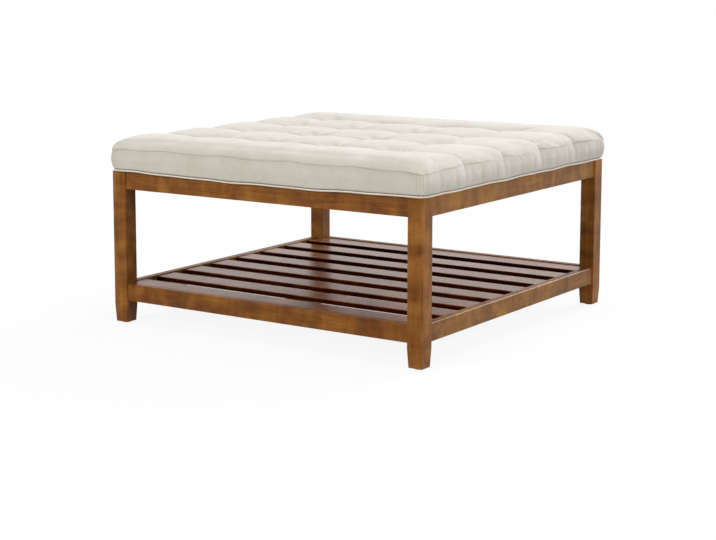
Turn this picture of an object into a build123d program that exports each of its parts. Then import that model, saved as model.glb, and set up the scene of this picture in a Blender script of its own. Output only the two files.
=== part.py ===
from build123d import *
import math
import os

# A square ottoman coffee table: a tufted cushion on a wooden frame with four legs,
# upper and lower rails and a slatted shelf. Millimetres, Z up, X along the front rail,
# the front at minus Y, and the origin on the floor under the middle of the table.

# Frame
frame_side = 896.0
leg_side = 40.0
leg_length = 379.0
leg_edge_chamfer = 1.0
foot_taper_height = 42.0
foot_taper_depth = 2.5
rail_thickness = 20.0
rail_setback = 4.0
rail_edge_chamfer = 1.0
upper_rail_height = 44.0
lower_rail_height = 42.0
lower_rail_clearance = 58.0

# Foot glides
glide_thickness = 3.0
glide_diameter = 22.0
glide_edge_chamfer = 0.8
glide_pin_diameter = 3.0
glide_pin_length = 14.0

# Shelf
slat_count = 8
slat_gap = 47.0
slat_thickness = 12.0
slat_edge_chamfer = 1.5
slat_drop = 2.0
slat_end_clearance = 0.5
leg_notch_clearance = 1.0
cleat_width = 20.0
cleat_height = 24.0
centre_batten_width = 40.0

# Corner blocks and the bolts that hold the legs
block_reach = 70.0
upper_block_height = 30.0
bolt_diameter = 8.0
bolt_head_diameter = 13.0
bolt_head_height = 8.0
bolt_socket_width = 6.0
bolt_socket_depth = 4.0
bolt_engagement = 26.0
bolt_hole_clearance = 0.5
washer_diameter = 20.0
washer_thickness = 1.5
insert_diameter = 12.0
insert_length = 18.0
insert_depth = 9.0

# Dowels and countersunk screws
dowel_diameter = 8.0
dowel_depth_in_leg = 18.0
dowel_depth_in_rail = 20.0
dowel_edge_distance = 11.0
screw_diameter = 4.0
screw_head_diameter = 8.0
screw_head_height = 2.0
screw_grip_in_slat = 8.0
fit_clearance = 0.1

# Cushion
cushion_overhang = 9.0
cushion_height = 88.0
cushion_bulge = 5.0
cushion_corner_radius = 20.0
seam_height_share = 0.64
shoulder_width = 70.0
shoulder_steps = 4
boxing_steps = 4
boxing_thickness = 10.0
boxing_fold = 1.2
bottom_fold_share = 0.25
channel_fold = 3.0
channel_depth = 9.0
tuft_depth = 18.0
pillow_count = 5
pillow_steps = 6
panel_thickness_at_tufts = 4.0
piping_diameter = 5.0
board_thickness = 12.0
board_corner_radius = 16.0
dust_cover_thickness = 1.0

# Tuft ties, of flat tape with a square toggle
tie_width = 5.0
tie_thickness = 1.0
tie_toggle_side = 9.0
tie_toggle_height = 5.0
tie_slot_play = 0.2

# Bolts that hold the cushion down, and the tee nuts that they turn into
cushion_bolt_diameter = 6.0
cushion_bolt_head_diameter = 10.0
cushion_bolt_head_height = 6.0
cushion_washer_diameter = 16.0
cushion_bolt_from_side_rail = 12.0
cushion_bolt_from_end_rail = 36.0
tee_nut_flange_diameter = 19.0
tee_nut_flange_thickness = 1.2
tee_nut_barrel_diameter = 8.0
tee_nut_barrel_length = 9.0

# Small rounds have flat sides: shanks, dowels, bores and piping, then heads, washers and glides
shank_sides = 8
disc_sides = 12

# One overrun for all cuts
overrun = 2.0

# Heights worked out from the sizes above
frame_top = glide_thickness + leg_length
upper_rail_bottom = frame_top - upper_rail_height
lower_rail_top = lower_rail_clearance + lower_rail_height
slat_top = lower_rail_top - slat_drop
slat_bottom = slat_top - slat_thickness
cleat_bottom = slat_bottom - cleat_height
upper_block_top = frame_top - dust_cover_thickness
upper_block_bottom = upper_block_top - upper_block_height
board_top = frame_top + board_thickness
boxing_bottom = frame_top + piping_diameter
seam_level = frame_top + cushion_height * seam_height_share
crown_level = frame_top + cushion_height
foam_top = crown_level - tuft_depth - panel_thickness_at_tufts

# Places measured from the middle of the table
frame_half = frame_side / 2
leg_middle = frame_half - leg_side / 2
leg_inner = frame_half - leg_side
foot_side = leg_side - 2 * foot_taper_depth
rail_length = frame_side - 2 * leg_side
rail_middle = frame_half - rail_setback - rail_thickness / 2
rail_inner = rail_middle - rail_thickness / 2
shelf_span = 2 * rail_inner
slat_width = (shelf_span - (slat_count - 1) * slat_gap) / slat_count
slat_pitch = slat_width + slat_gap
slat_length = shelf_span - 2 * slat_end_clearance
slat_notch = rail_inner - leg_inner + leg_notch_clearance
screw_line = rail_inner - cleat_width / 2
upper_bolt_level = upper_block_bottom + upper_block_height / 2
lower_bolt_level = cleat_bottom + cleat_height / 2
upper_dowel_level = upper_rail_bottom + dowel_edge_distance
lower_dowel_level = lower_rail_top - dowel_edge_distance
end_slat_middle = rail_inner - slat_width / 2
cushion_bolt_x = rail_inner - cushion_bolt_from_side_rail
cushion_bolt_y = rail_inner - cushion_bolt_from_end_rail
edge_half = frame_half + cushion_overhang - cushion_bulge
cushion_side = 2 * (edge_half + cushion_bulge)
tuft_pitch = cushion_side / pillow_count
board_half = edge_half - boxing_thickness

corners = {
    "front_left": (-1, -1),
    "front_right": (1, -1),
    "back_left": (-1, 1),
    "back_right": (1, 1),
}

os.makedirs("parts", exist_ok=True)


def save(piece, name):
    piece.label = name
    export_step(piece, f"parts/{name}.step")


def flat_sided(diameter, sides, mode=Mode.ADD):
    """Regular outline whose flats lie a diameter apart."""
    RegularPolygon(diameter / 2, sides, major_radius=False, mode=mode)


def bolt_axis(side_x, side_y, distance, level):
    """Plane square to a corner's diagonal, facing out, its distance from the leg's inner edge."""
    place = leg_inner - distance / math.sqrt(2)
    return Plane(origin=(side_x * place, side_y * place, level), z_dir=(side_x, side_y, 0))


# Rails run between the legs: along X at the front and back, along Y at the sides
rail_sides = {
    "front": Plane(origin=(-rail_length / 2, -rail_middle, 0), x_dir=(0, 1, 0), z_dir=(1, 0, 0)),
    "back": Plane(origin=(-rail_length / 2, rail_middle, 0), x_dir=(0, 1, 0), z_dir=(1, 0, 0)),
    "left": Plane(origin=(-rail_middle, -rail_length / 2, 0), x_dir=(-1, 0, 0), z_dir=(0, 1, 0)),
    "right": Plane(origin=(rail_middle, -rail_length / 2, 0), x_dir=(-1, 0, 0), z_dir=(0, 1, 0)),
}
rail_levels = {
    "upper": (upper_rail_bottom, upper_rail_height, upper_dowel_level),
    "lower": (lower_rail_clearance, lower_rail_height, lower_dowel_level),
}

# Dowels across each joint of a rail and a leg, and the bores that they sit in
dowel_forms = {}
for form, clearance in (("dowel", 0), ("bore", fit_clearance)):
    with BuildPart() as dowels:
        for end_plane in rail_sides.values():
            for start in (-dowel_depth_in_leg, rail_length - dowel_depth_in_rail):
                with BuildSketch(end_plane.offset(start)):
                    with Locations((0, upper_dowel_level), (0, lower_dowel_level)):
                        flat_sided(dowel_diameter + 2 * clearance, shank_sides)
                extrude(amount=dowel_depth_in_leg + dowel_depth_in_rail)
    dowel_forms[form] = dowels.part
save(dowel_forms["dowel"], "rail_dowels")

for level_name, (bottom, height, dowel_level) in rail_levels.items():
    for side, end_plane in rail_sides.items():
        with BuildPart() as rail:
            with BuildSketch(end_plane) as section:
                with Locations((0, bottom + height / 2)):
                    Rectangle(rail_thickness, height)
                chamfer(section.vertices(), rail_edge_chamfer)
            extrude(amount=rail_length)
            add(dowel_forms["bore"], mode=Mode.SUBTRACT)
        save(rail.part, f"{level_name}_rail_{side}")


# Legs, with tapered feet, bores for the inserts and dowels, and a hole for the glide's pin
for corner, (side_x, side_y) in corners.items():
    with BuildPart() as leg:
        with BuildSketch(Plane.XY.offset(glide_thickness)) as foot_outline:
            with Locations((side_x * leg_middle, side_y * leg_middle)):
                Rectangle(foot_side, foot_side)
            chamfer(foot_outline.vertices(), leg_edge_chamfer)
        with BuildSketch(Plane.XY.offset(glide_thickness + foot_taper_height)) as leg_outline:
            with Locations((side_x * leg_middle, side_y * leg_middle)):
                Rectangle(leg_side, leg_side)
            chamfer(leg_outline.vertices(), leg_edge_chamfer)
        loft(ruled=True)
        extrude(leg_outline.sketch, amount=leg_length - foot_taper_height)
        for level in (upper_bolt_level, lower_bolt_level):
            with BuildSketch(bolt_axis(side_x, side_y, overrun, level)):
                flat_sided(insert_diameter + 2 * fit_clearance, shank_sides)
            extrude(amount=insert_depth + insert_length + overrun, mode=Mode.SUBTRACT)
        add(dowel_forms["bore"], mode=Mode.SUBTRACT)
        with BuildSketch(Plane.XY.offset(glide_thickness)):
            with Locations((side_x * leg_middle, side_y * leg_middle)):
                flat_sided(glide_pin_diameter + 2 * fit_clearance, shank_sides)
        extrude(amount=glide_pin_length, mode=Mode.SUBTRACT)
    save(leg.part, f"leg_{corner}")

    with BuildPart() as glide:
        with BuildSketch(Plane.XY):
            with Locations((side_x * leg_middle, side_y * leg_middle)):
                flat_sided(glide_diameter, disc_sides)
        extrude(amount=glide_thickness)
        chamfer(glide.edges().group_by(Axis.Z)[0], glide_edge_chamfer)
        with BuildSketch(Plane.XY.offset(glide_thickness)):
            with Locations((side_x * leg_middle, side_y * leg_middle)):
                flat_sided(glide_pin_diameter, shank_sides)
        extrude(amount=glide_pin_length)
    save(glide.part, f"foot_glide_{corner}")


# Screws up through the cleats and lower blocks into the slats, and the holes that they sit in
slat_middles = [-end_slat_middle + slat_pitch * number for number in range(slat_count)]
screw_places = [(x, middle) for middle in slat_middles for x in (-screw_line, screw_line)]
screw_taper = math.degrees(math.atan2(screw_head_diameter - screw_diameter, 2 * screw_head_height))
screw_forms = {}
for form, clearance in (("screw", 0), ("hole", fit_clearance)):
    with BuildPart() as screws:
        with BuildSketch(Plane.XY.offset(cleat_bottom)):
            with Locations(*screw_places):
                flat_sided(screw_head_diameter + 2 * clearance, shank_sides)
        extrude(amount=screw_head_height, taper=screw_taper)
        with BuildSketch(Plane.XY.offset(cleat_bottom)):
            with Locations(*screw_places):
                flat_sided(screw_diameter + 2 * clearance, shank_sides)
        extrude(amount=cleat_height + screw_grip_in_slat)
    screw_forms[form] = screws.part
save(screw_forms["screw"], "slat_screws")

# Shelf slats across the side rails; the end ones are notched round the legs
for number, middle in enumerate(slat_middles, start=1):
    with BuildPart() as slat:
        with BuildSketch(Plane.YZ.offset(-slat_length / 2)) as section:
            with Locations((middle, slat_top - slat_thickness / 2)):
                Rectangle(slat_width, slat_thickness)
            chamfer(section.vertices(), slat_edge_chamfer)
        extrude(amount=slat_length)
        if number in (1, slat_count):
            outer = math.copysign(rail_inner, middle)
            with BuildSketch(Plane.XY.offset(slat_bottom)):
                with Locations((-rail_inner, outer), (rail_inner, outer)):
                    Rectangle(2 * slat_notch, 2 * slat_notch)
            extrude(amount=slat_thickness, mode=Mode.SUBTRACT)
        add(screw_forms["hole"], mode=Mode.SUBTRACT)
    save(slat.part, f"slat_{number}")

# Cleats under the slats, along the side rails
for side, side_x in (("left", -1), ("right", 1)):
    with BuildPart() as cleat:
        with BuildSketch(Plane.XY.offset(cleat_bottom)):
            with Locations((side_x * screw_line, 0)):
                Rectangle(cleat_width, 2 * (rail_inner - block_reach))
        extrude(amount=cleat_height)
        add(screw_forms["hole"], mode=Mode.SUBTRACT)
    save(cleat.part, f"shelf_cleat_{side}")

with BuildPart() as centre_batten:
    with BuildSketch(Plane.XY.offset(cleat_bottom)):
        Rectangle(centre_batten_width, 2 * rail_inner)
    extrude(amount=cleat_height)
save(centre_batten.part, "shelf_centre_batten")


# Corner blocks: a notched triangle in plan that sits between two rails and hugs the leg
block_far = rail_inner - block_reach
block_face = math.sqrt(2) * (leg_inner - (rail_inner + block_far) / 2)
block_levels = {
    "upper": (upper_block_bottom, upper_block_height, upper_bolt_level),
    "lower": (cleat_bottom, cleat_height, lower_bolt_level),
}
for level_name, (bottom, height, bolt_level) in block_levels.items():
    for corner, (side_x, side_y) in corners.items():
        with BuildPart() as block:
            with BuildSketch(Plane.XY.offset(bottom)):
                with BuildLine():
                    Polyline(
                        (side_x * leg_inner, side_y * rail_inner),
                        (side_x * block_far, side_y * rail_inner),
                        (side_x * rail_inner, side_y * block_far),
                        (side_x * rail_inner, side_y * leg_inner),
                        (side_x * leg_inner, side_y * leg_inner),
                        close=True,
                    )
                make_face()
            extrude(amount=height)
            with BuildSketch(bolt_axis(side_x, side_y, block_face + overrun, bolt_level)):
                flat_sided(bolt_diameter + 2 * bolt_hole_clearance, shank_sides)
            extrude(amount=block_face + overrun + bolt_diameter, mode=Mode.SUBTRACT)
            if level_name == "upper":
                with BuildSketch(Plane.XY.offset(bottom)):
                    with Locations((side_x * cushion_bolt_x, side_y * cushion_bolt_y)):
                        flat_sided(cushion_bolt_diameter + 2 * bolt_hole_clearance, shank_sides)
                extrude(amount=height, mode=Mode.SUBTRACT)
            else:
                add(screw_forms["hole"], mode=Mode.SUBTRACT)
        save(block.part, f"{level_name}_corner_block_{corner}")


# Bolts through the corner blocks into the legs, with their washers and threaded inserts
bolt_levels = (upper_bolt_level, lower_bolt_level)
bolt_places = [(side_x, side_y, level) for side_x, side_y in corners.values() for level in bolt_levels]
with BuildPart() as bolts:
    for side_x, side_y, level in bolt_places:
        under_head = bolt_axis(side_x, side_y, block_face + washer_thickness, level)
        with BuildSketch(under_head):
            flat_sided(bolt_diameter, shank_sides)
        extrude(amount=washer_thickness + block_face + bolt_engagement)
        with BuildSketch(under_head):
            flat_sided(bolt_head_diameter, disc_sides)
        extrude(amount=-bolt_head_height)
        with BuildSketch(under_head.offset(-bolt_head_height)):
            flat_sided(bolt_socket_width, 6)
        extrude(amount=bolt_socket_depth, mode=Mode.SUBTRACT)
save(bolts.part, "frame_bolts")

with BuildPart() as washers:
    for side_x, side_y, level in bolt_places:
        with BuildSketch(bolt_axis(side_x, side_y, block_face + washer_thickness, level)):
            flat_sided(washer_diameter, disc_sides)
            flat_sided(bolt_diameter + 2 * bolt_hole_clearance, shank_sides, Mode.SUBTRACT)
        extrude(amount=washer_thickness)
save(washers.part, "frame_bolt_washers")

with BuildPart() as inserts:
    for side_x, side_y, level in bolt_places:
        with BuildSketch(bolt_axis(side_x, side_y, -insert_depth, level)):
            flat_sided(insert_diameter, shank_sides)
            flat_sided(bolt_diameter + 2 * fit_clearance, shank_sides, Mode.SUBTRACT)
        extrude(amount=insert_length)
save(inserts.part, "threaded_inserts")


# Cushion base: a board with holes for the ties and the nuts, under it a dust cover
board_flat = 2 * board_half
tuft_grid = GridLocations(tuft_pitch, tuft_pitch, pillow_count - 1, pillow_count - 1)
nut_grid = GridLocations(2 * cushion_bolt_x, 2 * cushion_bolt_y, 2, 2)
with BuildPart() as board:
    with BuildSketch(Plane.XY.offset(frame_top)):
        RectangleRounded(board_flat, board_flat, board_corner_radius)
        with nut_grid:
            flat_sided(tee_nut_barrel_diameter + 2 * fit_clearance, shank_sides, Mode.SUBTRACT)
        with tuft_grid:
            Rectangle(tie_width + tie_slot_play, tie_thickness + tie_slot_play, mode=Mode.SUBTRACT)
    extrude(amount=board_thickness)
    with BuildSketch(Plane.XY.offset(frame_top)):
        with tuft_grid:
            Rectangle(tie_toggle_side + tie_slot_play, tie_toggle_side + tie_slot_play)
    extrude(amount=tie_toggle_height, mode=Mode.SUBTRACT)
save(board.part, "cushion_board")

with BuildPart() as dust_cover:
    with BuildSketch(Plane.XY.offset(frame_top - dust_cover_thickness)):
        Rectangle(slat_length, slat_length)
        with GridLocations(2 * rail_inner, 2 * rail_inner, 2, 2):
            Rectangle(2 * slat_notch, 2 * slat_notch, mode=Mode.SUBTRACT)
        with nut_grid:
            flat_sided(cushion_bolt_diameter + 2 * bolt_hole_clearance, shank_sides, Mode.SUBTRACT)
    extrude(amount=dust_cover_thickness)
save(dust_cover.part, "dust_cover")

# Foam block on the board
with BuildPart() as foam:
    with BuildSketch(Plane.XY.offset(board_top)):
        RectangleRounded(board_flat, board_flat, board_corner_radius)
        with tuft_grid:
            Rectangle(tie_width + tie_slot_play, tie_thickness + tie_slot_play, mode=Mode.SUBTRACT)
    extrude(amount=foam_top - board_top)
    with BuildSketch(Plane.XY.offset(board_top)):
        with nut_grid:
            flat_sided(tee_nut_flange_diameter + 2 * fit_clearance, disc_sides)
    extrude(amount=tee_nut_flange_thickness + fit_clearance, mode=Mode.SUBTRACT)
save(foam.part, "cushion_foam")

# Ties that pull the tufts down to toggles in the board's underside
with BuildPart() as ties:
    with BuildSketch(Plane.XY.offset(frame_top)):
        with tuft_grid:
            Rectangle(tie_width, tie_thickness)
    extrude(amount=foam_top - frame_top)
    with BuildSketch(Plane.XY.offset(frame_top)):
        with tuft_grid:
            Rectangle(tie_toggle_side, tie_toggle_side)
    extrude(amount=tie_toggle_height)
save(ties.part, "tuft_ties")

# Bolts up through the upper corner blocks, with their washers, and the tee nuts
cushion_bolt_base = upper_block_bottom - washer_thickness
with BuildPart() as cushion_bolts:
    with BuildSketch(Plane.XY.offset(cushion_bolt_base)):
        with nut_grid:
            flat_sided(cushion_bolt_diameter, shank_sides)
    extrude(amount=board_top - cushion_bolt_base)
    with BuildSketch(Plane.XY.offset(cushion_bolt_base)):
        with nut_grid:
            flat_sided(cushion_bolt_head_diameter, disc_sides)
    extrude(amount=-cushion_bolt_head_height)
save(cushion_bolts.part, "cushion_bolts")

with BuildPart() as cushion_washers:
    with BuildSketch(Plane.XY.offset(cushion_bolt_base)):
        with nut_grid:
            flat_sided(cushion_washer_diameter, disc_sides)
            flat_sided(cushion_bolt_diameter + 2 * bolt_hole_clearance, shank_sides, Mode.SUBTRACT)
    extrude(amount=washer_thickness)
save(cushion_washers.part, "cushion_bolt_washers")

with BuildPart() as tee_nuts:
    with BuildSketch(Plane.XY.offset(board_top)):
        with nut_grid:
            flat_sided(tee_nut_flange_diameter, disc_sides)
    extrude(amount=tee_nut_flange_thickness)
    with BuildSketch(Plane.XY.offset(board_top)):
        with nut_grid:
            flat_sided(tee_nut_barrel_diameter, shank_sides)
    extrude(amount=-tee_nut_barrel_length)
    with BuildSketch(Plane.XY.offset(board_top - tee_nut_barrel_length)):
        with nut_grid:
            flat_sided(cushion_bolt_diameter + 2 * fit_clearance, shank_sides)
    extrude(amount=tee_nut_barrel_length + tee_nut_flange_thickness, mode=Mode.SUBTRACT)
save(tee_nuts.part, "tee_nuts")


def turned(place, quarter):
    """A place in plan after a number of quarter turns about the table's middle."""
    x, y = place
    for _ in range(quarter):
        x, y = -y, x
    return x, y


def corner_arc(half, radius, start_angle, turn, quarter=0):
    """Arc of an outline's front left corner, whose sides lie at half, after some quarter turns."""
    middle = half - radius
    CenterArc(turned((-middle, -middle), quarter), radius, start_angle + 90 * quarter, turn)


def scallops(half, radius, fold, quarter=0):
    """Front side of an outline: a shallow arc for each pillow, drawn in to half at the channels."""
    channels = [tuft_pitch * (number - pillow_count / 2) for number in range(1, pillow_count)]
    bounds = [radius - half, *channels, half - radius]
    for left, right in zip(bounds, bounds[1:]):
        places = [(left, -half), ((left + right) / 2, -half - fold), (right, -half)]
        ThreePointArc(*[turned(place, quarter) for place in places])


# Boxing strips round the cushion's sides, fullest at mid height and mitred at the corners
mitre_share = 1 - math.sqrt(1 / 2)
inner_mitre = board_half - board_corner_radius * mitre_share
for quarter, side in enumerate(("front", "right", "back", "left")):
    with BuildPart() as strip:
        for step in range(boxing_steps + 1):
            share = step / boxing_steps
            fold = boxing_fold * (bottom_fold_share + (1 - bottom_fold_share) * share)
            half = edge_half + cushion_bulge * math.sin(math.pi * share) - fold
            outer_mitre = half - cushion_corner_radius * mitre_share
            level = boxing_bottom + (seam_level - boxing_bottom) * share
            with BuildSketch(Plane.XY.offset(level).rotated((0, 0, 90 * quarter))):
                with BuildLine():
                    corner_arc(half, cushion_corner_radius, 225, 45)
                    scallops(half, cushion_corner_radius, fold)
                    corner_arc(half, cushion_corner_radius, 180, 45, quarter=1)
                    Line((outer_mitre, -outer_mitre), (inner_mitre, -inner_mitre))
                    corner_arc(board_half, board_corner_radius, 180, 45, quarter=1)
                    Line(
                        (board_half - board_corner_radius, -board_half),
                        (board_corner_radius - board_half, -board_half),
                    )
                    corner_arc(board_half, board_corner_radius, 225, 45)
                    Line((-inner_mitre, -inner_mitre), (-outer_mitre, -outer_mitre))
                make_face()
        loft(ruled=True)
    save(strip.part, f"cushion_boxing_{side}")


# Tufted top panel: one loft from front to back, whose section is an arc for each pillow, lowest
# at the channels between the rows. A rounded shoulder trims it and carries the channels out to
# the seam, and the foam block is cut away below.
row_half = cushion_side / 2
shoulder_height = crown_level + overrun - seam_level
with BuildPart() as top_panel:
    for step in range(pillow_count * pillow_steps + 1):
        drop = channel_depth * (1 - abs(math.sin(math.pi * step / pillow_steps)))
        crown = crown_level - drop
        valley = crown_level - drop - (tuft_depth - channel_depth)
        with BuildSketch(Plane.XZ.offset(row_half - step * tuft_pitch / pillow_steps)):
            with BuildLine():
                Line((-row_half, valley), (-row_half, board_top))
                Line((-row_half, board_top), (row_half, board_top))
                Line((row_half, board_top), (row_half, valley))
                for pillow in range(pillow_count):
                    left = pillow * tuft_pitch - row_half
                    right = left + tuft_pitch
                    ThreePointArc((left, valley), ((left + right) / 2, crown), (right, valley))
            make_face()
    loft(ruled=True)
    for step in range(shoulder_steps + 1):
        angle = math.pi / 2 * step / shoulder_steps
        inset = shoulder_width * (1 - math.cos(angle))
        fold = boxing_fold + (channel_fold - boxing_fold) * math.sin(angle)
        half = edge_half - inset - fold
        radius = cushion_corner_radius + inset / 2
        with BuildSketch(Plane.XY.offset(seam_level + shoulder_height * math.sin(angle))):
            with BuildLine():
                for quarter in range(4):
                    corner_arc(half, radius, 180, 90, quarter)
                    scallops(half, radius, fold, quarter)
            make_face()
    loft(ruled=True, mode=Mode.INTERSECT)
    with BuildSketch(Plane.XY.offset(seam_level)):
        RectangleRounded(board_flat, board_flat, board_corner_radius)
    extrude(amount=foam_top - seam_level, mode=Mode.SUBTRACT)
save(top_panel.part, "cushion_top_panel")


# Piping along the bottom edge of the boxing
piping_half = edge_half - piping_diameter / 2
with BuildPart() as piping:
    with BuildLine(Plane.XY.offset(frame_top + piping_diameter / 2)) as route:
        FilletPolyline(
            (-piping_half, -piping_half),
            (piping_half, -piping_half),
            (piping_half, piping_half),
            (-piping_half, piping_half),
            radius=cushion_corner_radius,
            close=True,
        )
    with BuildSketch(Plane(origin=route.line @ 0, z_dir=route.line % 0)):
        RegularPolygon(piping_diameter / 2, shank_sides, major_radius=False, rotation=180 / shank_sides)
    sweep()
save(piping.part, "cushion_piping")
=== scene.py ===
import math

import bmesh
import bpy
import numpy as np
from mathutils import Matrix, Vector
from mathutils.bvhtree import BVHTree


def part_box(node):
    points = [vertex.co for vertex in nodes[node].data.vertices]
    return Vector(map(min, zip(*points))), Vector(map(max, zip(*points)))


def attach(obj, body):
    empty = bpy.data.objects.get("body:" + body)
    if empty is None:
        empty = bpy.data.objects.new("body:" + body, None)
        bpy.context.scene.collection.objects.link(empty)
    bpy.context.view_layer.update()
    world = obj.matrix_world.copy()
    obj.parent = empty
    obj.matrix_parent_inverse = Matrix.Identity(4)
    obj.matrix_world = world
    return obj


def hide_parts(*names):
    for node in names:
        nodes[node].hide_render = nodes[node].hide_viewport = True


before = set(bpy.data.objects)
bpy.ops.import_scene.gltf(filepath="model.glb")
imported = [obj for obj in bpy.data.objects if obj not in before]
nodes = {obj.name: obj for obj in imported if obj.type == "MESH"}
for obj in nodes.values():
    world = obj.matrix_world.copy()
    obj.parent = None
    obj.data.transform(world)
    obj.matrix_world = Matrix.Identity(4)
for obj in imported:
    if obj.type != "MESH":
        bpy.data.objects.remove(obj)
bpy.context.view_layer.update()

# Metres throughout. The camera was fitted to the photograph: where it stands, where it looks,
# its focal length in pixels and the pixel that its axis passes through.
image_width = 716
image_height = 540
sensor_width = 36.0
focal_pixels = 1630.1
axis_pixel_x = 280.0
axis_pixel_y = 200.0
camera_place = Vector((2.2488, -3.4418, 0.8769))
camera_yaw = math.radians(36.106)
camera_pitch = math.radians(8.103)
camera_roll = math.radians(-0.301)
nearest_seen = 0.05
farthest_seen = 100

# Least value that a length is divided by, and the range that noise mostly fills
tiny = 1e-9
noise_range = (0.3, 0.7)


# Shared helpers for materials
def new_material(name):
    """A material whose nodes are an output and one principled shader."""
    material = bpy.data.materials.new(name)
    material.use_nodes = True
    tree = material.node_tree
    tree.nodes.clear()
    output = tree.nodes.new("ShaderNodeOutputMaterial")
    shader = tree.nodes.new("ShaderNodeBsdfPrincipled")
    tree.links.new(shader.outputs["BSDF"], output.inputs["Surface"])
    return material, tree, shader


def object_place(tree, scale=(1, 1, 1), shift=(0, 0, 0)):
    """Place on the object in metres, stretched by scale, as a texture's vector."""
    coordinate = tree.nodes.new("ShaderNodeTexCoord")
    mapping = tree.nodes.new("ShaderNodeMapping")
    mapping.inputs["Scale"].default_value = scale
    mapping.inputs["Location"].default_value = shift
    tree.links.new(coordinate.outputs["Object"], mapping.inputs["Vector"])
    return mapping.outputs["Vector"]


def grain_scale(axis, length, width):
    """Stretch that gives a texture one size along an axis and another across it."""
    return tuple(1 / length if i == axis else 1 / width for i in range(3))


def scale_of(sizes):
    """Stretch that gives a texture its sizes along the three axes."""
    return tuple(1 / size for size in sizes)


def even_scale(size):
    """Stretch that gives a texture one size in every direction."""
    return (1 / size,) * 3


def parts_of(tree, vector):
    """The three parts of a vector."""
    split = tree.nodes.new("ShaderNodeSeparateXYZ")
    tree.links.new(vector, split.inputs["Vector"])
    return split.outputs


def facing_parts(tree):
    """The three parts of the direction in which the surface faces."""
    return parts_of(tree, tree.nodes.new("ShaderNodeNewGeometry").outputs["Normal"])


def noise(tree, scale, detail=4.0, roughness=0.55, distortion=0.0, shift=(0, 0, 0)):
    """Noise from 0 to 1 over the object, whose size comes from its stretch alone."""
    texture = tree.nodes.new("ShaderNodeTexNoise")
    texture.inputs["Scale"].default_value = 1.0
    texture.inputs["Detail"].default_value = detail
    texture.inputs["Roughness"].default_value = roughness
    texture.inputs["Distortion"].default_value = distortion
    tree.links.new(object_place(tree, scale, shift), texture.inputs["Vector"])
    return texture.outputs["Fac"]


def ramp(tree, factor, stops):
    """Colour ramp through (place, colour) stops."""
    node = tree.nodes.new("ShaderNodeValToRGB")
    elements = node.color_ramp.elements
    while len(elements) < len(stops):
        elements.new(0.5)
    for element, (place, colour) in zip(elements, stops):
        element.position = place
        element.color = (*colour, 1.0)
    tree.links.new(factor, node.inputs["Fac"])
    return node.outputs["Color"]


def span(tree, factor, low, high, out_low, out_high):
    """Maps a factor from one range to another, held at its ends."""
    node = tree.nodes.new("ShaderNodeMapRange")
    names = ("From Min", "From Max", "To Min", "To Max")
    for name, value in zip(names, (low, high, out_low, out_high)):
        node.inputs[name].default_value = value
    tree.links.new(factor, node.inputs["Value"])
    return node.outputs["Result"]


def maths(tree, operation, first, second=None):
    """One operation on numbers or sockets."""
    node = tree.nodes.new("ShaderNodeMath")
    node.operation = operation
    for socket, value in zip(node.inputs, (first, second)):
        if isinstance(value, (int, float)):
            socket.default_value = value
        elif value is not None:
            tree.links.new(value, socket)
    return node.outputs["Value"]


def scaled(tree, value, share):
    return maths(tree, "MULTIPLY", value, share)


def total(tree, first, *others):
    """Sum of several sockets."""
    for other in others:
        first = maths(tree, "ADD", first, other)
    return first


def blend(tree, mode, factor, first, second):
    """Mixes two colours; factor may be a number or a socket."""
    node = tree.nodes.new("ShaderNodeMix")
    node.data_type = "RGBA"
    node.blend_type = mode
    inputs = [socket for socket in node.inputs if socket.enabled]
    for socket, value in zip(inputs, (factor, first, second)):
        if isinstance(value, (int, float)):
            socket.default_value = value
        elif isinstance(value, tuple):
            socket.default_value = (*value, 1.0)
        else:
            tree.links.new(value, socket)
    return next(socket for socket in node.outputs if socket.enabled)


def bump(tree, shader, height, distance, strength):
    """Fine relief of a height, whose full rise is the distance."""
    node = tree.nodes.new("ShaderNodeBump")
    node.inputs["Distance"].default_value = distance
    node.inputs["Strength"].default_value = strength
    tree.links.new(height, node.inputs["Height"])
    tree.links.new(node.outputs["Normal"], shader.inputs["Normal"])


# Stained wood: length along the grain and width across it of its mottling, blotches, lines and pores,
# the share of the first three in its tone, and the tones from dark to light on each kind of piece.
# Where slats lie level, their gloss rises towards the back as a painted reflection.
mottle_size = (0.034, 0.070)
blotch_size = (0.11, 0.028)
line_size = (0.13, 0.0028)
pore_size = (0.011, 0.0006)
mottle_share = 0.42
blotch_share = 0.32
line_share = 0.26
tone_places = (0.37, 0.50, 0.63)
pore_range = (0.30, 0.48)
pore_shade = 0.80
gloss_tint = (1.0, 0.82, 0.66, 1)
wood_relief = 0.0003
wood_roughness = 0.42
slat_roughness = 0.26
less_rough = 0.04
more_rough = 0.06
wood_gloss = 0.30
leg_gloss = 0.20
rail_tones = ((0.110, 0.030, 0.0030), (0.220, 0.072, 0.0080), (0.345, 0.134, 0.0200))
side_tones = ((0.122, 0.040, 0.0030), (0.245, 0.092, 0.0080), (0.375, 0.165, 0.0210))
leg_tones = ((0.128, 0.040, 0.0056), (0.256, 0.093, 0.0160), (0.395, 0.166, 0.0350))
slat_tones = ((0.110, 0.026, 0.0050), (0.205, 0.058, 0.0120), (0.320, 0.115, 0.0280))
# Colour that multiplies the slats' upright faces: painted shade, with some darker stain
slat_edge_painted_shade_and_stain = (0.16, 0.08, 0.07)
# Gloss of level slat faces from front to back: a painted reflection, stronger towards the back
slat_gloss_painted_front_to_back = (0.18, 0.85)
slat_gloss_reach = (-0.4, 0.4)
level_range = (0.3, 0.8)


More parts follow.
